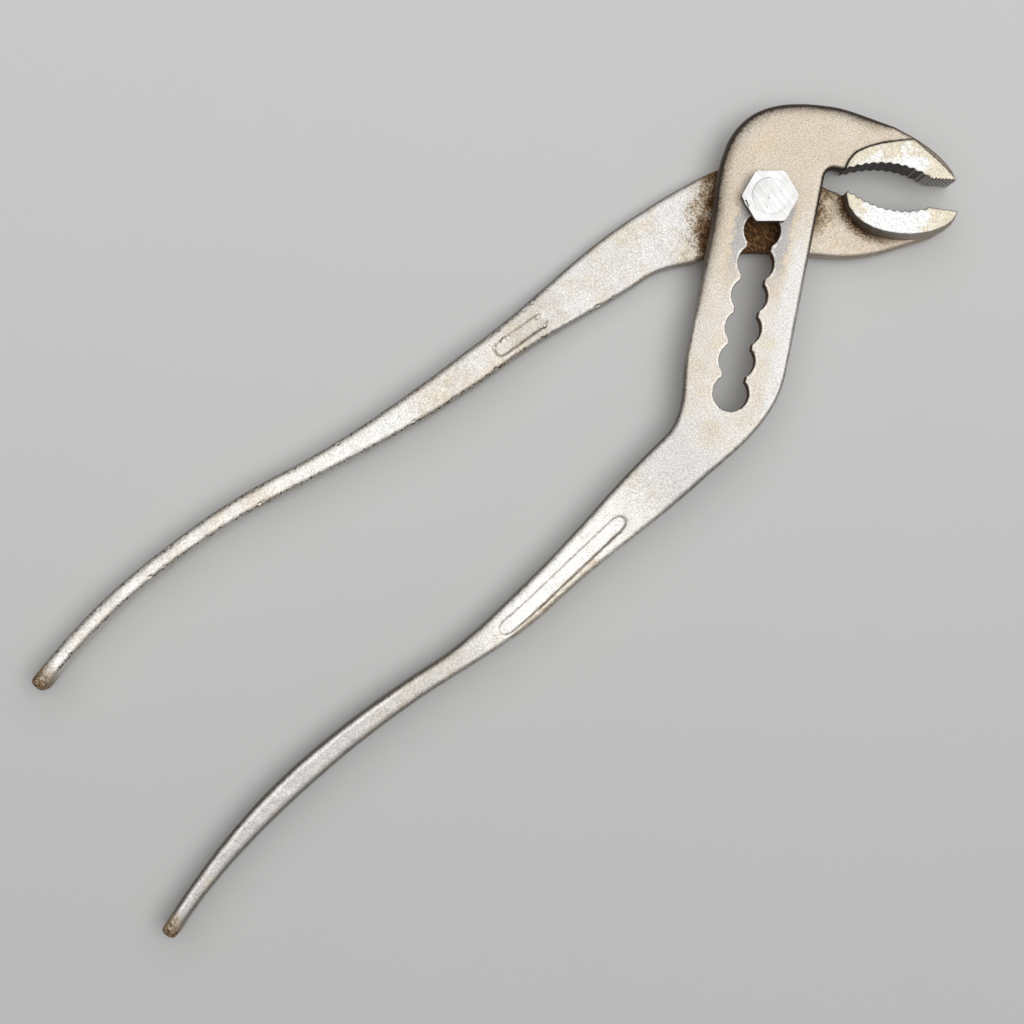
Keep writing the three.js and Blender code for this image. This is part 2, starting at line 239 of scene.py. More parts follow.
# %% Round the head
head_rounds = 220
full_way = 1.0
head_edge = 1 * MM
head_side = 8.5 * MM
head_top = 11.3 * MM
back_low, back_high = -32 * MM, -4 * MM
top_full, top_end = 27 * MM, 31 * MM


def round_the_head(piece):
    points = coordinates(piece)
    side, up = along_and_across(points, slot_turn)
    along, across = along_and_across(points, bite_turn)
    back = ramp(-side, head_side - head_edge, head_side) * ramp(up, back_low, back_high)
    top = ramp(across, head_top, head_top + head_edge) * ramp(along, top_end, top_full)
    group(piece, "head_edge", np.maximum(back, top))
    modify(piece, "SMOOTH", factor=full_way, iterations=head_rounds, vertex_group="head_edge")
    print(piece.name, "has a rounder head")


round_the_head(slotted_arm)

# %% [markdown]
# Beside the lower end of the slot the flat plate runs out into the handle. In the solid the flat faces
# meet there in a low step, but hot steel flows from one level to the other without a line. So the same
# Smooth works on the flat faces in a band round that place.

# %% Soften the shoulder
shoulder_up = 7 * MM - slot_travel
shoulder_full, shoulder_end = 5 * MM, 9 * MM
flat_enough = 0.97


def normals(piece):
    flat = np.empty(len(piece.data.vertices) * 3, np.float32)
    piece.data.vertex_normals.foreach_get("vector", flat)
    return flat.reshape(-1, 3)


def soften_the_shoulder(piece):
    up = along_and_across(coordinates(piece), slot_turn)[1]
    band = ramp(np.abs(up - shoulder_up), shoulder_end, shoulder_full)
    flat = np.abs(normals(piece)[:, 2]) > flat_enough
    group(piece, "shoulder", np.where(flat, band, 0.0))
    modify(piece, "SMOOTH", factor=full_way, iterations=head_rounds, vertex_group="shoulder")
    print(piece.name, "has a softer shoulder")


soften_the_shoulder(slotted_arm)

# %% [markdown]
# The outer side of the plain jaw leans outwards towards its foot, the slope that lets a forging leave its
# die. Displace pushes that wall out along its normals, nothing at the top and most at the foot.

# %% Slope of the plain jaw
draft = 0.75 * MM
jaw_rim = 13.2 * MM
jaw_foot = 6.2 * MM
draft_most = jaw_foot + 0.3 * MM
draft_end = jaw_foot - 0.5 * MM
draft_from, draft_full = 20 * MM, 25 * MM


def slope_the_jaw(piece):
    points = coordinates(piece)
    facing_out = normals(piece)
    along = along_and_across(points, plain_bite_turn)[0]
    outwards = along_and_across(facing_out, plain_bite_turn)[1]
    wall = ramp(-outwards, 0.2, 0.5) * ramp(np.abs(facing_out[:, 2]), 0.7, 0.4)
    wall *= ramp(along, draft_from, draft_full) * ramp(points[:, 2], jaw_rim, draft_most)
    wall *= ramp(points[:, 2], draft_end, jaw_foot)
    group(piece, "jaw_side", wall)
    modify(piece, "DISPLACE", strength=draft, mid_level=0.0, vertex_group="jaw_side")
    print(piece.name, "has a sloped jaw, points moved:", int((wall > 0).sum()))


slope_the_jaw(plain_arm)

# %% [markdown]
# Hot steel never fills a die quite flat, and long use leaves nicks along the edges of the handles. The
# waves and the pits are displaced geometry, so they catch the light from any side. The pits come from a
# cloud texture whose colour ramp keeps only its brightest spots.

# %% Waves and pits of the forging
wave_size = 5 * MM
wave_height = 0.16 * MM
pit_size = 1.1 * MM
pit_depth = 0.22 * MM
pit_spots = (0.66, 0.80)
handle_end = -30 * MM
edge_tilt = (0.25, 0.97)


def cloud(name, size, spots=None):
    texture = bpy.data.textures.new(name, "CLOUDS")
    texture.noise_scale = size
    texture.noise_depth = 2
    if spots:
        texture.use_color_ramp = True
        low, high = texture.color_ramp.elements
        low.position, high.position = spots
        low.color = (0, 0, 0, 1)
        high.color = (1, 1, 1, 1)
    return texture


waves = cloud("die_waves", wave_size)
pits = cloud("edge_pits", pit_size, pit_spots)


def handle_edges(piece):
    tilt = np.abs(normals(piece)[:, 2])
    on_handle = coordinates(piece)[:, 0] < handle_end
    return on_handle & (tilt > edge_tilt[0]) & (tilt < edge_tilt[1])


def age_the_forging(piece, wear):
    group(piece, "worn_edges", np.where(handle_edges(piece), wear, 0.0))
    modify(piece, "DISPLACE", texture=waves, strength=wave_height, mid_level=0.5, vertex_group="waved")
    modify(piece, "DISPLACE", texture=pits, strength=-pit_depth, mid_level=0.0, vertex_group="worn_edges")
    print(piece.name, "aged")


age_the_forging(slotted_arm, wear=0.3)
age_the_forging(plain_arm, wear=1.0)

# %% [markdown]
# The fine grid has more triangles than the flat faces need. Decimate takes them where the surface is even
# and leaves them at the teeth and the edges.

# %% Thin the grid
most_triangles = 190000


def thin(piece):
    count = triangles(piece)
    if count > most_triangles:
        modify(piece, "DECIMATE", ratio=most_triangles / count)
    piece.vertex_groups.clear()
    choose(piece)
    bpy.ops.object.shade_smooth()
    print(piece.name, "from", count, "to", triangles(piece), "triangles")


thin(slotted_arm)
thin(plain_arm)

# %% [markdown]
# The nose of the slotted jaw has a file-like cut, much finer than the teeth behind it. The grid is too
# coarse for it. So a row of small upright bars, joined into one cutter and set corner first, is taken out
# of the finished surface, and the lines stay sharp.

# %% Fine cut on the nose
cut_start, cut_end = (38.7 * MM, 0.98 * MM), (43.5 * MM, 0.26 * MM)
cut_count = 7
cut_width = 0.42 * MM
bar_height = 16 * MM
bar_low = -1 * MM
corner_first = math.pi / 4 - bite_turn


def cutting_bars():
    made = []
    for along, across in np.linspace(cut_start, cut_end, cut_count):
        x = along * math.cos(bite_turn) + across * math.sin(bite_turn)
        y = across * math.cos(bite_turn) - along * math.sin(bite_turn)
        middle = (x, y, bar_low + bar_height / 2)
        bpy.ops.mesh.primitive_cube_add(size=1, location=middle, rotation=(0, 0, corner_first))
        bpy.context.object.scale = (cut_width, cut_width, bar_height)
        made.append(bpy.context.object)
    choose(*made)
    bpy.ops.object.join()
    settle(bpy.context.object)
    return bpy.context.object


cut(slotted_arm, cutting_bars(), solver="MANIFOLD")
print("slotted arm with its fine cut:", triangles(slotted_arm), "triangles")

# %% [markdown]
# Nut and bolt are turned from bar and cut with straight tools, so both start from cylinders and blocks.
# Faces are picked by which way they point before an edit-mode operator shapes them, and a last fine bevel
# breaks every sharp edge, as a file does.

# %% Bar, blocks and broken edges
round_sides = 96
sharp_angle = math.radians(25)
smooth_angle = math.radians(12)


def cylinder(name, radius, low, high, sides=round_sides, turn=0.0):
    bpy.ops.object.select_all(action="DESELECT")
    middle = (0, 0, (low + high) / 2)
    bpy.ops.mesh.primitive_cylinder_add(
        vertices=sides, radius=radius, depth=high - low, location=middle, rotation=(0, 0, turn)
    )
    piece = bpy.context.object
    piece.name = name
    piece.data.name = name
    settle(piece)
    return piece


def block(name, middle, size, turn):
    bpy.ops.object.select_all(action="DESELECT")
    bpy.ops.mesh.primitive_cube_add(size=1, location=middle, rotation=(0, 0, turn), scale=size)
    piece = bpy.context.object
    piece.name = name
    settle(piece)
    return piece


def is_top(face):
    return face.normal.z > 0.9


def is_bottom(face):
    return face.normal.z < -0.9


def select_faces(piece, test):
    choose(piece)
    bpy.ops.object.mode_set(mode="EDIT")
    bpy.ops.mesh.select_mode(type="FACE")
    bpy.ops.mesh.select_all(action="DESELECT")
    bpy.ops.object.mode_set(mode="OBJECT")
    for face in piece.data.polygons:
        face.select = test(face)
    bpy.ops.object.mode_set(mode="EDIT")


def break_edges(piece, width):
    modify(piece, "BEVEL", width=width, segments=2, limit_method="ANGLE", angle_limit=sharp_angle)
    choose(piece)
    bpy.ops.object.shade_smooth_by_angle(angle=smooth_angle)
    print(piece.name, "has", triangles(piece), "triangles")


# %% [markdown]
# The nut is a plain hexagon, its corners barely turned off at the top, and one edge has a nick. It starts
# as a six-sided cylinder. A round blank with a bevelled rim cuts the corners, and a small block cuts the
# nick.

# %% The nut
nut_low, nut_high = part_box("pivot_nut")
nut_flats = 11.7 * MM
nut_corner = nut_flats / math.sqrt(3)
nut_turn = math.radians(11) - slot_turn
nut_bore = 4.25 * MM
nut_rim = 0.25 * MM
corner_room = 0.02 * MM
overrun = 1 * MM
nick_place = Vector((-5.7 * MM, 1.8 * MM, nut_high.z))
nick_size = (0.9 * MM, 1.7 * MM, 2.4 * MM)
nick_turn = math.radians(168)

nut = cylinder("pivot_nut_hexagon", nut_corner, nut_low.z, nut_high.z, 6, nut_turn + math.pi / 6)
blank = cylinder("nut_blank", nut_corner + corner_room, nut_low.z - overrun, nut_high.z)
select_faces(blank, is_top)
bpy.ops.mesh.bevel(offset=nut_rim, segments=3, affect="EDGES")
bpy.ops.object.mode_set(mode="OBJECT")
cut(nut, blank, operation="INTERSECT")
cut(nut, cylinder("nut_bore", nut_bore, nut_low.z - overrun, nut_high.z + overrun))
cut(nut, block("nick", nick_place, nick_size, nick_turn))
break_edges(nut, width=0.1 * MM)

# %% [markdown]
# The bolt has a flush countersunk head at the back, a round journal, two flats that slide in the slot,
# and an end that was hammered over the nut. It could be spun from a profile, but extruding and scaling
# the end faces of a cylinder gives the head and the peened rim with fewer steps. Two blocks then cut the
# flats.

# %% The bolt
bolt_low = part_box("pivot_bolt")[0]
shank_radius = 4 * MM
head_radius = 6.5 * MM
head_slope = head_radius - shank_radius
head_land = 0.6 * MM
peen_radius = 4.33 * MM
peen_step, peen_rise = 0.02 * MM, 0.03 * MM
peen_dome = 0.95
flat_gap = 5.2 * MM
flat_low, flat_high = 6.4 * MM, nut_low.z - 0.05 * MM


def extrude(rise, widen=1.0):
    bpy.ops.mesh.extrude_region_move(TRANSFORM_OT_translate={"value": (0, 0, rise)})
    bpy.ops.transform.resize(value=(widen, widen, 1))


bolt = cylinder("pivot_bolt_turned", shank_radius, bolt_low.z + head_land + head_slope, nut_high.z)
select_faces(bolt, is_bottom)
extrude(-head_slope, widen=head_radius / shank_radius)
extrude(-head_land)
bpy.ops.object.mode_set(mode="OBJECT")
select_faces(bolt, is_top)
extrude(peen_step, widen=peen_radius / shank_radius)
extrude(peen_rise, widen=peen_dome)
bpy.ops.object.mode_set(mode="OBJECT")

slot_side = Vector((math.cos(slot_turn), -math.sin(slot_turn), 0))
flat_size = (2 * shank_radius, 4 * shank_radius, flat_high - flat_low)
for side in (1, -1):
    middle = slot_side * side * (flat_gap / 2 + shank_radius)
    middle.z = (flat_low + flat_high) / 2
    cut(bolt, block("flat", middle, flat_size, -slot_turn))
break_edges(bolt, width=0.06 * MM)

# %% [markdown]
# Finishes are built from a few small node helpers. The first ones do sums with masks, where 0 is bare and
# 1 is covered: a product, a largest value, a soft fade between two values and a soft band.

# %% Node helpers for masks


def start_finish(name):
    material = bpy.data.materials.new(name)
    material.use_nodes = True
    return material, material.node_tree, material.node_tree.nodes["Principled BSDF"]


def feed(tree, socket, value):
    if isinstance(value, bpy.types.NodeSocket):
        tree.links.new(value, socket)
    else:
        socket.default_value = value


def calc(tree, operation, first, second=0.0, clamp=False):
    node = tree.nodes.new("ShaderNodeMath")
    node.operation = operation
    node.use_clamp = clamp
    feed(tree, node.inputs[0], first)
    feed(tree, node.inputs[1], second)
    return node.outputs[0]


def times(tree, *factors):
    product = factors[0]
    for factor in factors[1:]:
        product = calc(tree, "MULTIPLY", product, factor)
    return product


def most(tree, *values):
    largest = values[0]
    for value in values[1:]:
        largest = calc(tree, "MAXIMUM", largest, value)
    return largest


def fade(tree, value, start, end, low=0.0, high=1.0):
    node = tree.nodes.new("ShaderNodeMapRange")
    node.interpolation_type = "SMOOTHSTEP"
    feed(tree, node.inputs["Value"], value)
    feed(tree, node.inputs["From Min"], start)
    feed(tree, node.inputs["From Max"], end)
    feed(tree, node.inputs["To Min"], low)
    feed(tree, node.inputs["To Max"], high)
    return node.outputs[0]


def between(tree, value, low, high, soft):
    rise = fade(tree, value, low - soft, low + soft)
    return times(tree, rise, fade(tree, value, high + soft, high - soft))


# %% [markdown]
# The next ones tell where a point is. All patterns read Object coordinates in metres, so a stain stays on
# its place of the arm in every pose. A finish can also ask how flat a point lies, which way it leans, and
# how far it is from a line. A positive lean faces the upper left of the photograph.

# %% Node helpers for places


def turned_place(tree, turn, stretch=(1, 1, 1)):
    source = tree.nodes.new("ShaderNodeTexCoord").outputs["Object"]
    node = tree.nodes.new("ShaderNodeMapping")
    feed(tree, node.inputs["Vector"], source)
    node.inputs["Rotation"].default_value = (0, 0, turn)
    node.inputs["Scale"].default_value = stretch
    return node.outputs[0]


def parts_of(tree, vector):
    node = tree.nodes.new("ShaderNodeSeparateXYZ")
    feed(tree, node.inputs[0], vector)
    return node.outputs


def facing(tree):
    normal = tree.nodes.new("ShaderNodeNewGeometry").outputs["Normal"]
    return calc(tree, "ABSOLUTE", parts_of(tree, normal)[2])


def leaning(tree):
    return parts_of(tree, tree.nodes.new("ShaderNodeTexCoord").outputs["Normal"])[1]


def length(tree, x, y):
    return calc(tree, "SQRT", calc(tree, "ADD", times(tree, x, x), times(tree, y, y)))


def vector_calc(tree, operation, first, second):
    node = tree.nodes.new("ShaderNodeVectorMath")
    node.operation = operation
    feed(tree, node.inputs[0], first)
    feed(tree, node.inputs["Scale" if operation == "SCALE" else 1], second)
    return node.outputs["Value" if operation == "DOT_PRODUCT" else "Vector"]


def away_from_line(tree, start, end):
    line = Vector(end) - Vector(start)
    offset = vector_calc(tree, "SUBTRACT", turned_place(tree, 0), (*start, 0))
    share = vector_calc(tree, "DOT_PRODUCT", offset, (*(line / line.length_squared), 0))
    share = calc(tree, "MINIMUM", calc(tree, "MAXIMUM", share, 0.0), 1.0)
    nearest = vector_calc(tree, "SCALE", (*line, 0), share)
    x, y, _ = parts_of(tree, vector_calc(tree, "SUBTRACT", offset, nearest))
    return length(tree, x, y)


# %% [markdown]
# The last ones make the patterns and lay the coats: cloudy noise, the same noise as a wobble that shifts
# an edge to and fro, a blend of two colours, and a stack of bumps.

# %% Node helpers for patterns and coats
noise_span = (0.3, 0.7)


def cloudy(tree, place, size, detail=3.0, rough=0.6):
    node = tree.nodes.new("ShaderNodeTexNoise")
    feed(tree, node.inputs["Vector"], place)
    feed(tree, node.inputs["Scale"], 1 / size)
    feed(tree, node.inputs["Detail"], detail)
    feed(tree, node.inputs["Roughness"], rough)
    return node.outputs["Fac"]


def wobble(tree, size, low, high, detail=3.0, rough=0.6):
    noise = cloudy(tree, turned_place(tree, 0), size, detail, rough)
    return fade(tree, noise, *noise_span, low=low, high=high)


def blend(tree, amount, under, over, mode="MIX"):
    node = tree.nodes.new("ShaderNodeMix")
    node.data_type = "RGBA"
    node.blend_type = mode
    feed(tree, node.inputs[0], amount)
    feed(tree, node.inputs[6], under)
    feed(tree, node.inputs[7], over)
    return node.outputs[2]


def bump(tree, heights):
    normal = None
    for height, strength, distance in heights:
        node = tree.nodes.new("ShaderNodeBump")
        feed(tree, node.inputs["Height"], height)
        node.inputs["Strength"].default_value = strength
        node.inputs["Distance"].default_value = distance
        if normal:
            feed(tree, node.inputs["Normal"], normal)
        normal = node.outputs[0]
    return normal


# %% [markdown]
# The arms were plated and the plating has worn. Their rounded edges carry a ragged brown-grey painted
# shade, the rims beside them are tanned, and small chips along the handles show dark pits. Painted strokes
# would not follow the edges, so the masks come from how far the surface tilts.

# %% Painted edge shade, worn and chipped edges
edge_shade_brown = (0.105, 0.080, 0.062, 1)
pit_brown = (0.065, 0.048, 0.036, 1)
honey = (0.55, 0.45, 0.308, 1)
edge_ragged = 0.06
edge_soft = 0.2
rim_tilt = (0.86, 0.985)
rim_tan = 0.3
chip_tilt = (0.45, 0.94)
chip_size = 0.65 * MM
chip_spots = (0.54, 0.62)


# Painted shade: rounded edges darken to brown-grey the more they tilt away from flat.
def shade_edges(tree, colour, side_shade, dark_from):
    ragged = wobble(tree, 0.6 * MM, -edge_ragged, edge_ragged)
    dark_full = calc(tree, "SUBTRACT", dark_from, edge_soft)
    rounded = fade(tree, calc(tree, "ADD", facing(tree), ragged), dark_from, dark_full)
    return blend(tree, times(tree, rounded, side_shade), colour, edge_shade_brown)


def chipped_edges(tree, colour, chipped):
    tilt = facing(tree)
    tanned = times(tree, between(tree, tilt, *rim_tilt, soft=0.015), chipped, rim_tan)
    colour = blend(tree, tanned, colour, honey)
    spots = fade(tree, cloudy(tree, turned_place(tree, 0), chip_size, detail=2.0), *chip_spots)
    chips = times(tree, between(tree, tilt, *chip_tilt, soft=0.03), spots, chipped)
    return blend(tree, chips, colour, pit_brown), chips


# %% [markdown]
# Rust is tan and thin at its edge and turns into dark brown with golden fibres where it is thick. It is
# rough and hardly metallic, so it takes over the shine too. One function lays all the coats over a base
# colour: freckles, painted shade on the edges, chips, rust and the fine grain of the forging. Each arm says
# where its rust, its sides with painted shade and its chips are.

# %% The forged skin
freckle_brown = (0.20, 0.14, 0.09, 1)
freckle_size = 0.65 * MM
freckle_spots = (0.58, 0.74)
rust_tan = (0.40, 0.305, 0.19, 1)
rust_dark = (0.085, 0.036, 0.016, 1)
rust_gold = (0.50, 0.29, 0.12, 1)
fibre_size = 0.4 * MM
fibre_turn = slot_turn + 0.6
fibre_stretch = (1, 0.4, 1)
grain_size = 0.32 * MM
grain_span = (0.28, 0.72)


def rusted(tree, colour, rust):
    fibres = cloudy(tree, turned_place(tree, fibre_turn, fibre_stretch), fibre_size, detail=4.0, rough=0.75)
    rust_tone = blend(tree, fade(tree, fibres, 0.44, 0.74), rust_dark, rust_gold)
    colour = blend(tree, fade(tree, rust, 0.0, 0.5, high=0.8), colour, rust_tan)
    return blend(tree, fade(tree, rust, 0.4, 0.95), colour, rust_tone)


def forged_skin(tree, shader, colour, rust, side_shade, dark_from, chipped):
    place = turned_place(tree, 0)
    freckles = fade(tree, cloudy(tree, place, freckle_size, rough=0.7), *freckle_spots)
    colour = blend(tree, times(tree, freckles, 0.4), colour, freckle_brown)
    colour = shade_edges(tree, colour, side_shade, dark_from)
    colour, chips = chipped_edges(tree, colour, chipped)
    colour = rusted(tree, colour, rust)
    grain = cloudy(tree, place, grain_size, detail=2.0, rough=0.75)
    shade = fade(tree, grain, *grain_span, low=0.66, high=1.20)
    feed(tree, shader.inputs["Base Color"], blend(tree, 1.0, colour, shade, "MULTIPLY"))
    feed(tree, shader.inputs["Metallic"], fade(tree, rust, 0.0, 1.0, low=0.85, high=0.2))
    feed(tree, shader.inputs["Roughness"], fade(tree, rust, 0.0, 1.0, low=0.54, high=0.8))
    feed(tree, shader.inputs["Specular IOR Level"], fade(tree, rust, 0.0, 1.0, low=0.5, high=0.15))
    heights = [(grain, 0.3, 0.05 * MM), (freckles, -0.3, 0.04 * MM), (chips, -0.5, 0.08 * MM)]
    feed(tree, shader.inputs["Normal"], bump(tree, heights))


# %% [markdown]
# On the slotted arm the head is beige and the rest shades to silver, whitest along the rail on the jaws'
# side and on the shank. The shoulder is duller, and the grip is grey, with painted shade towards its
# lower-right side and a painted highlight along its upper-left edge. Cloudy patches of honey keep any of
# these from being flat.

# %% Base colour of the slotted arm
beige = (0.545, 0.472, 0.385, 1)
silver = (0.615, 0.603, 0.584, 1)
handle_white = (0.84, 0.825, 0.795, 1)
grip_grey = (0.56, 0.55, 0.542, 1)
grip_shade = (0.36, 0.35, 0.345, 1)
plate_to_handle = (-4 * MM, -45 * MM)
rail_edge = (5 * MM, 9.5 * MM)
rail_below = (6 * MM, -16 * MM)
shoulder_stretch = (-62 * MM, -46 * MM)
shank_stretch = (-112 * MM, -70 * MM)
neck_to_grip = (-122 * MM, -145 * MM)
patch_size = 9 * MM
cloud_size = 14 * MM


def patchy(tree, colour, amount):
    patches = cloudy(tree, turned_place(tree, 0), patch_size, detail=4.0, rough=0.65)
    return blend(tree, fade(tree, patches, 0.48, 0.70, high=amount), colour, honey)


def slotted_grip(tree):
    return fade(tree, parts_of(tree, turned_place(tree, 0))[0], *neck_to_grip)


def slotted_base(tree):
    across, along, _ = parts_of(tree, turned_place(tree, slot_turn))
    handle = fade(tree, along, *plate_to_handle, high=0.8)
    rail = times(tree, fade(tree, across, *rail_edge, high=1.2), fade(tree, along, *rail_below))
    uneven = wobble(tree, cloud_size, -0.25, 0.25)
    bright = calc(tree, "ADD", times(tree, most(tree, handle, rail), 0.9), uneven, clamp=True)
    lengthwise = parts_of(tree, turned_place(tree, 0))[0]
    shoulder = between(tree, lengthwise, *shoulder_stretch, soft=7 * MM)
    shank = between(tree, lengthwise, *shank_stretch, soft=12 * MM)
    grip = slotted_grip(tree)
    lean = leaning(tree)
    # Painted highlight along the grip's upper-left edge, and painted shade in its grey towards the lower
    # right.
    painted_ridge_highlight = times(tree, grip, between(tree, lean, 0.04, 0.27, soft=0.04))
    grey = blend(tree, fade(tree, lean, 0.02, -0.15), grip_grey, grip_shade)
    dull = times(tree, most(tree, grip, shoulder), 0.8)
    colour = blend(tree, dull, blend(tree, bright, beige, silver), grey)
    return patchy(tree, blend(tree, most(tree, shank, painted_ridge_highlight), colour, handle_white), amount=0.4)


# %% [markdown]
# A long panel is stamped into each handle. Its low walls are painted dark, with dirt and painted shade,
# most on the wall that faces the upper left, and on the slotted arm a honey-coloured stain runs along the
# panel's lower side. The panels are real hollows in the mesh, so the finish only has to find their walls
# near the panel's middle line.

# %% Stamped panels
groove_dirt_and_shade = (0.13, 0.10, 0.075, 1)
slotted_panel = ((-109.2 * MM, -45.7 * MM), (-73.6 * MM, -41.2 * MM))
panel_stain = ((-108.8 * MM, -48.7 * MM), (-84 * MM, -45.5 * MM))
panel_reach = (2.4 * MM, 2.7 * MM)
stain_reach = (1.8 * MM, 0.6 * MM)
drift_size = 3 * MM
drift_reach = 3 * MM


def panel_dirt(tree, colour):
    drift = wobble(tree, drift_size, -drift_reach, drift_reach)
    beside = fade(tree, away_from_line(tree, *panel_stain), *stain_reach, high=0.7)
    return blend(tree, times(tree, beside, fade(tree, drift, -2 * MM, MM, low=0.4)), colour, honey)


def stamped_panel(tree, colour, side_shade, middle):
    outside = fade(tree, away_from_line(tree, *middle), *panel_reach)
    inside = calc(tree, "SUBTRACT", 1.0, outside)
    steep = fade(tree, facing(tree), 0.985, 0.93, high=0.4)
    # Dirt and painted shade in the panel's walls, most on the wall that faces the upper left.
    wall = most(tree, fade(tree, leaning(tree), 0.08, 0.30, high=0.85), steep)
    return blend(tree, times(tree, wall, inside), colour, groove_dirt_and_shade), times(tree, side_shade, outside)


# %% [markdown]
# The raised pad of each jaw is worn to white steel in the middle and keeps a cream colour at its ends.
# The pad is told from the rest by its height alone, and a wobble makes the border of the worn place
# uneven.

# %% Worn pads of the jaws
cream = (0.59, 0.54, 0.435, 1)
white = (0.70, 0.70, 0.692, 1)
pad_level = 13.1 * MM
slotted_worn = (23 * MM, 37 * MM)
slotted_worn_edge = (10 * MM, 6.5 * MM)


def jaw_pad(tree, colour, worn, start, full):
    height = parts_of(tree, turned_place(tree, 0))[2]
    return blend(tree, fade(tree, height, start, full), colour, blend(tree, worn, cream, white))


def slotted_pad(tree, colour):
    jaw_along, jaw_across, _ = parts_of(tree, turned_place(tree, bite_turn))
    drift = wobble(tree, drift_size, -drift_reach, drift_reach)
    worn = between(tree, calc(tree, "ADD", jaw_along, drift), *slotted_worn, soft=2.5 * MM)
    worn = times(tree, worn, fade(tree, calc(tree, "ADD", jaw_across, drift), *slotted_worn_edge))
    return jaw_pad(tree, colour, worn, pad_level, pad_level + 0.3 * MM)


# %% [markdown]
# The nut has polished a grey track beside the upper steps of the slot, with a honey stain at its border,
# and the rims of the slot are bright. Folding the slot's length into one step gives the distance to the
# nearest lobe, so one circle describes all seven.

# %% Wear round the slot
track_grey = (0.365, 0.358, 0.360, 1)
rim_cream = (0.72, 0.70, 0.64, 1)
track_length = (-18 * MM, 1 * MM)
track_edge = (6.9 * MM, 5.9 * MM)
stain_band = (6.2 * MM, 7.2 * MM)
rim_edge = (lobe_radius + 0.75 * MM, lobe_radius + 0.35 * MM)
rim_ripple = 0.25 * MM
track_wander = 1.2 * MM


def folded(tree, value, step):
    node = tree.nodes.new("ShaderNodeMath")
    node.operation = "WRAP"
    feed(tree, node.inputs[0], value)
    node.inputs[1].default_value = step / 2
    node.inputs[2].default_value = -step / 2
    return node.outputs[0]


def on_slot(tree, along):
    return between(tree, along, -slot_travel - slot_pitch / 2, slot_pitch / 2, soft=0.3 * MM)


def slot_wear(tree, colour):
    across, along, _ = parts_of(tree, turned_place(tree, slot_turn))
    wander = wobble(tree, 2.5 * MM, -track_wander, track_wander, detail=4.0, rough=0.7)
    polished = calc(tree, "ADD", calc(tree, "ABSOLUTE", across), wander)
    reached = between(tree, calc(tree, "ADD", along, wander), *track_length, soft=5 * MM)
    stain = times(tree, between(tree, polished, *stain_band, soft=0.8 * MM), reached, 0.45)
    colour = blend(tree, stain, colour, honey)
    track = times(tree, fade(tree, polished, *track_edge), reached, 0.85)
    colour = blend(tree, track, colour, track_grey)
    from_lobe = length(tree, across, folded(tree, along, slot_pitch))
    ripple = wobble(tree, 2 * MM, -rim_ripple, rim_ripple)
    rim = fade(tree, calc(tree, "ADD", from_lobe, ripple), *rim_edge)
    return blend(tree, times(tree, on_slot(tree, along), rim, 0.8), colour, rim_cream)


# %% [markdown]
# Inside the mouth, the walls of the slotted jaw's teeth are dark and its nose is light, with a line of
# painted shade in each groove of the fine cut. The grooves are real, but they are hardly wider than a pixel
# of the photograph, so the painted shade helps them to show.

# %% Walls of the slotted mouth
tooth_brown = (0.055, 0.042, 0.033, 1)
cut_groove_shade = (0.02, 0.016, 0.013, 1)
cut_step = (cut_end[0] - cut_start[0]) / (cut_count - 1)
cut_line = (0.26 * MM, 0.14 * MM)
upright_tilt = (0.7, 0.4)
mouth_start = (9 * MM, 12 * MM)
teeth_to_nose = (36.5 * MM, 38.5 * MM)


# Painted shade: a dark line in each groove of the fine cut.
def fine_cut_shade(tree, jaw_along):
    from_line = folded(tree, calc(tree, "SUBTRACT", jaw_along, cut_start[0]), cut_step)
    line = fade(tree, calc(tree, "ABSOLUTE", from_line), *cut_line)
    nose = (cut_start[0] - cut_step / 2, cut_end[0] + cut_step / 2)
    upright = fade(tree, facing(tree), *upright_tilt)
    return times(tree, between(tree, jaw_along, *nose, soft=0.1 * MM), upright, line)


def slotted_mouth(tree, jaw_along):
    upright = fade(tree, facing(tree), *upright_tilt)
    return times(tree, upright, fade(tree, leaning(tree), 0.0, -0.3), fade(tree, jaw_along, *mouth_start))


def bitten(tree, colour, mouth, jaw_along):
    wall = blend(tree, fade(tree, jaw_along, *teeth_to_nose), tooth_brown, handle_white)
    wall = blend(tree, fine_cut_shade(tree, jaw_along), wall, cut_groove_shade)
    return blend(tree, mouth, colour, wall)


# %% [markdown]
# The slotted arm has rust on the walls of the slot and in specks on the handle's tip. Its head has painted
# shade all round its rounded edge, while the handle has painted shade mostly on the side that faces the
# upper left, and less of it beside the slot. With these masks the coats are laid one over the other.

# %% Finish of the slotted arm
slot_wall = (5.2 * MM, 4.8 * MM)
slotted_tip = (-210 * MM, -216 * MM)
head_up = (-26 * MM, -2 * MM)
head_to_nose = (36 * MM, 30 * MM)
less_shaded_stretch = (-42 * MM, -20 * MM)
chips_down = (-5 * MM, -30 * MM)
dark_from_flat, dark_from_round = 0.90, 0.99


def slotted_rust(tree):
    across, along, _ = parts_of(tree, turned_place(tree, slot_turn))
    beside = fade(tree, calc(tree, "ABSOLUTE", across), *slot_wall)
    wall = times(tree, on_slot(tree, along), beside, fade(tree, facing(tree), 0.65, 0.3), 0.85)
    place = turned_place(tree, 0)
    specks = fade(tree, cloudy(tree, place, 0.8 * MM), 0.38, 0.62, low=0.4)
    return most(tree, wall, times(tree, fade(tree, parts_of(tree, place)[0], *slotted_tip), specks))


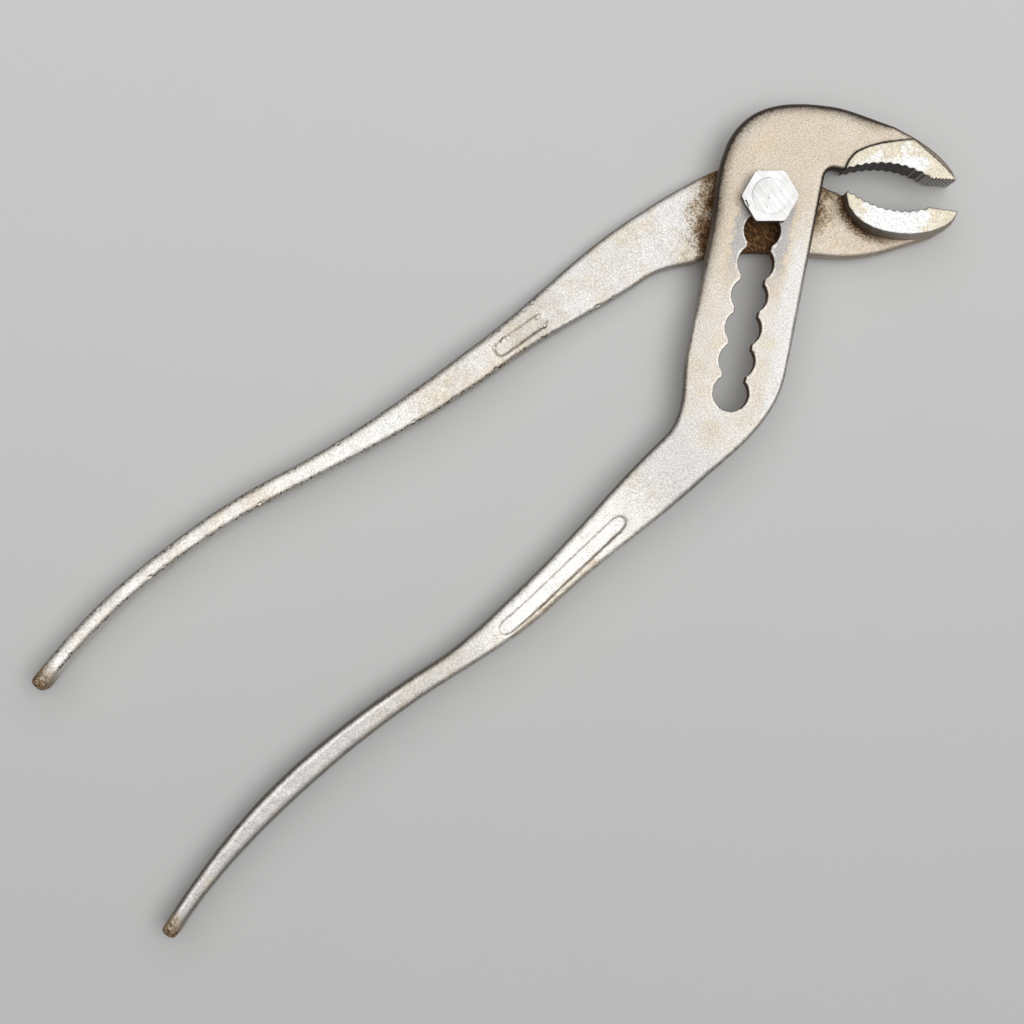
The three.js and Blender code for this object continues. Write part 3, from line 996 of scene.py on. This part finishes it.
def slotted_finish():
    material, tree, shader = start_finish("slotted_arm_worn_plating")
    along = parts_of(tree, turned_place(tree, slot_turn))[1]
    jaw_along = parts_of(tree, turned_place(tree, bite_turn))[0]
    mouth = slotted_mouth(tree, jaw_along)
    colour = slotted_pad(tree, panel_dirt(tree, slotted_base(tree)))
    colour = bitten(tree, slot_wear(tree, colour), mouth, jaw_along)

    # Painted shade on the head's rounded edge and on the side that faces the upper left, weaker beside the
    # slot.
    head = times(tree, fade(tree, along, *head_up), fade(tree, jaw_along, *head_to_nose))
    less_shaded = between(tree, along, *less_shaded_stretch, soft=6 * MM)
    upper_left_shade = fade(tree, leaning(tree), -0.1, 0.3, low=0.1, high=0.7)
    upper_left_shade = times(tree, upper_left_shade, fade(tree, less_shaded, 0.0, 1.0, low=1.0, high=0.35))
    side_shade = times(tree, most(tree, head, upper_left_shade), calc(tree, "SUBTRACT", 1.0, mouth))
    rounder = most(tree, head, slotted_grip(tree))
    dark_from = fade(tree, rounder, 0.0, 1.0, low=dark_from_flat, high=dark_from_round)
    colour, side_shade = stamped_panel(tree, colour, side_shade, slotted_panel)
    chipped = fade(tree, along, *chips_down, low=0.15, high=0.4)
    forged_skin(tree, shader, colour, slotted_rust(tree), side_shade, dark_from, chipped)
    return material


def coat(piece, material):
    piece.data.materials.clear()
    piece.data.materials.append(material)
    print(piece.name, "has the finish", material.name)


coat(slotted_arm, slotted_finish())

# %% [markdown]
# On the plain arm, dirt and painted shade fill the corner at the foot of the raised jaw. How near a point
# is to that foot can't be told from one simple formula, so it is measured on the mesh once and kept as an
# attribute that the finish reads.

# %% Mark the jaw's foot
foot_reach = 4.5 * MM
foot_low, foot_high = 6.9 * MM, 9.5 * MM
wall_tilt = 0.35


def mark_foot(piece):
    points = coordinates(piece)
    level = points[:, 2]
    along = along_and_across(points, plain_bite_turn)[0]
    upright = np.abs(normals(piece)[:, 2]) < wall_tilt
    wall = upright & (level > foot_low) & (level < foot_high) & (along > jaw_start)
    tree = KDTree(int(wall.sum()))
    for number, (x, y) in enumerate(points[wall][:, :2].tolist()):
        tree.insert((x, y, 0), number)
    tree.balance()
    near = np.zeros(len(points), np.float32)
    around = np.nonzero((along > jaw_start - foot_reach) & (level < foot_low))[0]
    for number, (x, y) in zip(around.tolist(), points[around][:, :2].tolist()):
        near[number] = max(0.0, 1 - tree.find((x, y, 0))[2] / foot_reach)
    piece.data.attributes.new("near_foot", "FLOAT", "POINT").data.foreach_set("value", near)
    print(piece.name, "points near the jaw's foot:", int((near > 0).sum()))


mark_foot(plain_arm)

# %% [markdown]
# Rust sits where the slotted plate covers the plain arm, and creeps out from under the plate on both
# sides in fine brown specks. The specks also spread the dirt and painted shade at the jaw's foot, and the
# rust on the handle's tip.

# %% Rust of the plain arm
plate_side = 12 * MM
left_creep = (6.8 * MM, -1.5 * MM)
right_creep = (plate_side + 6 * MM, plate_side - 3 * MM)
right_above = (-8 * MM, 0.0)
plate_top = (7 * MM, 6.4 * MM)
speck_size = 0.4 * MM
speck_reach = 2 * MM
foot_specks = 1 / (9 * MM)
foot_heel = (38 * MM, 20 * MM)
plain_tip = (-199 * MM, -207 * MM)


def fine_specks(tree):
    return wobble(tree, speck_size, -speck_reach, speck_reach, detail=2.0, rough=0.8)


def under_the_plate(tree):
    across, along, _ = parts_of(tree, turned_place(tree, slot_turn))
    ragged = calc(tree, "ADD", fine_specks(tree), wobble(tree, 4 * MM, -speck_reach, speck_reach))
    left = calc(tree, "SUBTRACT", calc(tree, "MULTIPLY", across, -1.0), plate_side)
    left = fade(tree, calc(tree, "ADD", left, ragged), *left_creep)
    right = fade(tree, calc(tree, "ADD", across, ragged), *right_creep)
    left = times(tree, left, fade(tree, across, 0.0, -MM))
    right = times(tree, right, fade(tree, along, *right_above, low=0.1), fade(tree, across, 0.0, MM))
    under = between(tree, across, -plate_side, plate_side, soft=0.5 * MM)
    return most(tree, left, right, under)


def plain_rust(tree):
    lengthwise, _, height = parts_of(tree, turned_place(tree, 0))
    jaw_along = parts_of(tree, turned_place(tree, plain_bite_turn))[0]
    specks = fine_specks(tree)
    covered = times(tree, under_the_plate(tree), fade(tree, height, *plate_top))
    # Dirt and painted shade, in rust colours, fill the corner at the jaw's foot.
    near = tree.nodes.new("ShaderNodeAttribute")
    near.attribute_name = "near_foot"
    dirt = calc(tree, "ADD", near.outputs["Fac"], times(tree, specks, foot_specks))
    foot = times(tree, fade(tree, dirt, 0.45, 0.95), fade(tree, jaw_along, *foot_heel))
    tip = times(tree, fade(tree, lengthwise, *plain_tip), fade(tree, specks, -1.6 * MM, MM, low=0.4))
    return most(tree, covered, foot, tip)


# %% [markdown]
# The plain arm shades from beige by the jaw to silver and then to a pale handle, and its edges are the
# most chipped of all. The side of its raised jaw and the side of the arm that faces the upper left carry
# painted shade.

# %% Finish of the plain arm
plain_panel = ((-74 * MM, 8.9 * MM), (-59 * MM, 8.7 * MM))
jaw_to_handle = (4 * MM, -20 * MM)
handle_far = (-60 * MM, -135 * MM)
plain_worn = (23 * MM, 36.5 * MM)
boss_up = (6 * MM, 7.2 * MM)
boss_start = (10 * MM, 15 * MM)
jaw_to_nose = (22 * MM, 36 * MM)
chips_along = (-25 * MM, -70 * MM)


def plain_base(tree):
    across = parts_of(tree, turned_place(tree, slot_turn))[0]
    handle = times(tree, fade(tree, across, *jaw_to_handle), 0.95)
    bright = calc(tree, "ADD", handle, wobble(tree, cloud_size, -0.3, 0.2), clamp=True)
    far = fade(tree, parts_of(tree, turned_place(tree, 0))[0], *handle_far)
    colour = blend(tree, bright, beige, blend(tree, far, silver, handle_white))
    return patchy(tree, colour, amount=0.5)


def plain_finish():
    material, tree, shader = start_finish("plain_arm_worn_plating")
    lengthwise, _, height = parts_of(tree, turned_place(tree, 0))
    jaw_along = parts_of(tree, turned_place(tree, plain_bite_turn))[0]
    drift = wobble(tree, drift_size, -drift_reach, drift_reach)
    worn = between(tree, calc(tree, "ADD", jaw_along, drift), *plain_worn, soft=1.5 * MM)
    colour = jaw_pad(tree, plain_base(tree), worn, pad_level - 0.6 * MM, pad_level)

    # Painted shade on the raised jaw's side and on the side that faces the upper left, less towards the
    # nose.
    boss = times(tree, fade(tree, height, *boss_up), fade(tree, jaw_along, *boss_start), 0.9)
    upper_left_shade = fade(tree, leaning(tree), -0.3, 0.3, low=0.12, high=0.5)
    nose = fade(tree, jaw_along, *jaw_to_nose, low=1.0, high=0.35)
    side_shade = times(tree, most(tree, boss, upper_left_shade), nose)
    colour, side_shade = stamped_panel(tree, colour, side_shade, plain_panel)
    chipped = fade(tree, lengthwise, *chips_along, low=0.2, high=0.9)
    forged_skin(tree, shader, colour, plain_rust(tree), side_shade, dark_from_flat, chipped)
    return material


coat(plain_arm, plain_finish())

# %% [markdown]
# Nut and bolt are bare turned steel, almost white where they are worn, with fine scratches. The bolt's
# end is hammered flush with the nut, so the joint between them shows only as two faint arcs of dirt.
# Their angles are those of the photograph, whose upright is turned against the frame.

# %% Finish of the nut and the bolt
bright_steel = (0.60, 0.598, 0.592, 1)
dull_steel = (0.54, 0.536, 0.528, 1)
grime_and_shade = (0.10, 0.08, 0.065, 1)
picture_turn = math.radians(36)
long_arc = (math.radians(92), math.radians(178))
short_arc = (math.radians(-85), math.radians(-35))
arc_band = (peen_radius - 0.05 * MM, peen_radius + 0.05 * MM)
scratch_turn = 0.7
scratch_stretch = (1, 0.06, 1)
scratch_size = 0.35 * MM
dull_size = 2.5 * MM
dot_size = 1.1 * MM


def peened_arcs(tree, place):
    right, up, _ = parts_of(tree, place)
    ring = between(tree, length(tree, right, up), *arc_band, soft=0.12 * MM)
    angle = calc(tree, "ARCTAN2", up, right)
    faint = times(tree, between(tree, angle, *short_arc, soft=0.2), 0.4)
    return times(tree, ring, most(tree, between(tree, angle, *long_arc, soft=0.1), faint))


def turned_finish(name):
    material, tree, shader = start_finish(name)
    place = turned_place(tree, picture_turn)
    scratches = cloudy(tree, turned_place(tree, scratch_turn, scratch_stretch), scratch_size, rough=0.7)
    dull = cloudy(tree, place, dull_size)
    colour = blend(tree, fade(tree, dull, 0.35, 0.75), bright_steel, dull_steel)
    # Painted shade: steep sides and bevels of nut and bolt darken towards the grime colour.
    colour = blend(tree, fade(tree, facing(tree), 0.8, 0.3, high=0.8), colour, grime_and_shade)
    dots = fade(tree, cloudy(tree, place, dot_size, detail=1.0), 0.74, 0.79, high=0.7)
    arcs = peened_arcs(tree, place)
    feed(tree, shader.inputs["Base Color"], blend(tree, most(tree, arcs, dots), colour, grime_and_shade))
    feed(tree, shader.inputs["Metallic"], 0.9)
    feed(tree, shader.inputs["Roughness"], fade(tree, scratches, *noise_span, low=0.46, high=0.58))
    heights = [(scratches, 0.12, 0.03 * MM), (dull, 0.15, 0.1 * MM), (arcs, -0.5, 0.1 * MM)]
    feed(tree, shader.inputs["Normal"], bump(tree, heights))
    return material


coat(nut, turned_finish("nut_bright_steel"))
coat(bolt, turned_finish("bolt_bright_steel"))

# %% [markdown]
# Each piece rides on the body that carries it, and stands for the CAD node that it was made from.

# %% Ride on the bodies
riders = [
    (slotted_arm, "slotted_arm", "slotted_arm", "slotted_forging"),
    (plain_arm, "plain_arm", "plain_arm", "plain_forging"),
    (bolt, "pivot", "pivot_bolt", "bolt_steel"),
    (nut, "pivot", "pivot_nut", "nut_steel"),
]
for piece, body, node, slot_name in riders:
    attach(piece, body)
    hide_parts(node)
print("pieces on their bodies:", len(riders))

# %% [markdown]
# The photograph looks straight down on the pliers. The camera stands over the middle of its picture,
# turned with it. A pixel there is 0.24 mm on the table, which sets the focal length.

# %% Camera
camera_height = 650 * MM
pixel = 0.24 * MM
image_pixels = 1024
sensor_width = 36
pivot_right, pivot_up = 60.4 * MM, 73.9 * MM
picture_up = Vector((math.sin(picture_turn), math.cos(picture_turn), 0))
picture_right = Vector((math.cos(picture_turn), -math.sin(picture_turn), 0))
picture_middle = -pivot_right * picture_right - pivot_up * picture_up

camera_place = picture_middle + Vector((0, 0, camera_height))
bpy.ops.object.camera_add(location=camera_place, rotation=(0, 0, -picture_turn))
camera = bpy.context.object
camera.data.sensor_width = sensor_width
camera.data.lens = sensor_width * camera_height / (image_pixels * pixel)
camera.data.clip_start = 10 * MM
bpy.context.scene.camera = camera
print("camera over", [round(v / MM, 1) for v in picture_middle.xy], "lens", round(camera.data.lens, 1))

# %% [markdown]
# The pliers lie on a plain pale table. A painted fall of light makes it a little darker towards the bottom
# of the picture, with a faint mottle in its colour, because a lamp that did the same would also change the
# steel.

# %% Table
table_low, table_high = (0.550, 0.550, 0.545, 1), (0.650, 0.650, 0.645, 1)
table_size = 6
table_level = -0.1 * MM
table_fall = (-150 * MM, 150 * MM)
mottle_size = 30 * MM


def table_finish():
    material, tree, shader = start_finish("pale_table")
    mottle = cloudy(tree, turned_place(tree, 0), mottle_size, detail=5.0)
    up = parts_of(tree, turned_place(tree, picture_turn))[1]
    # Painted fall of light: the table darkens towards the bottom of the picture.
    fall = calc(tree, "ADD", fade(tree, up, *table_fall, high=0.9), times(tree, mottle, 0.1))
    feed(tree, shader.inputs["Base Color"], blend(tree, fall, table_low, table_high))
    feed(tree, shader.inputs["Roughness"], 0.65)
    feed(tree, shader.inputs["Specular IOR Level"], 0.2)
    return material


bpy.ops.mesh.primitive_plane_add(size=table_size, location=picture_middle + Vector((0, 0, table_level)))
table = bpy.context.object
table.name = "table"
coat(table, table_finish())

# %% [markdown]
# The light is that of a small studio. A very large round lamp overhead makes the soft light on the steel,
# and a weaker sun from the picture's right, blurred by its wide angle, makes the short shadows to the
# left. The dim room at the sides is what the rounded edges mirror.

# %% Light
lamp_place = picture_up * 0.3 + picture_right * 0.1 + Vector((0, 0, 1.25))
lamp_energy = 13.5
lamp_width = 2.4
sun_place = picture_right * 0.28 + Vector((0, 0, 1))
sun_energy = 1.15
sun_blur = math.radians(35)
room_grey = (0.5, 0.5, 0.5, 1)
room_strength = 0.22


def light(kind, place, energy):
    bpy.ops.object.light_add(type=kind, location=picture_middle + place)
    made = bpy.context.object
    made.rotation_euler = (-place).to_track_quat("-Z", "Y").to_euler()
    made.data.energy = energy
    return made.data


lamp = light("AREA", lamp_place, lamp_energy)
lamp.shape = "DISK"
lamp.size = lamp_width
sun = light("SUN", sun_place, sun_energy)
sun.angle = sun_blur

world = bpy.data.worlds.new("dim_room")
bpy.context.scene.world = world
world.use_nodes = True
room = world.node_tree.nodes["Background"]
room.inputs["Color"].default_value = room_grey
room.inputs["Strength"].default_value = room_strength
bpy.context.scene.view_settings.view_transform = "Standard"
print("lamp", lamp_energy, "W, sun", sun_energy, "room", room_strength)
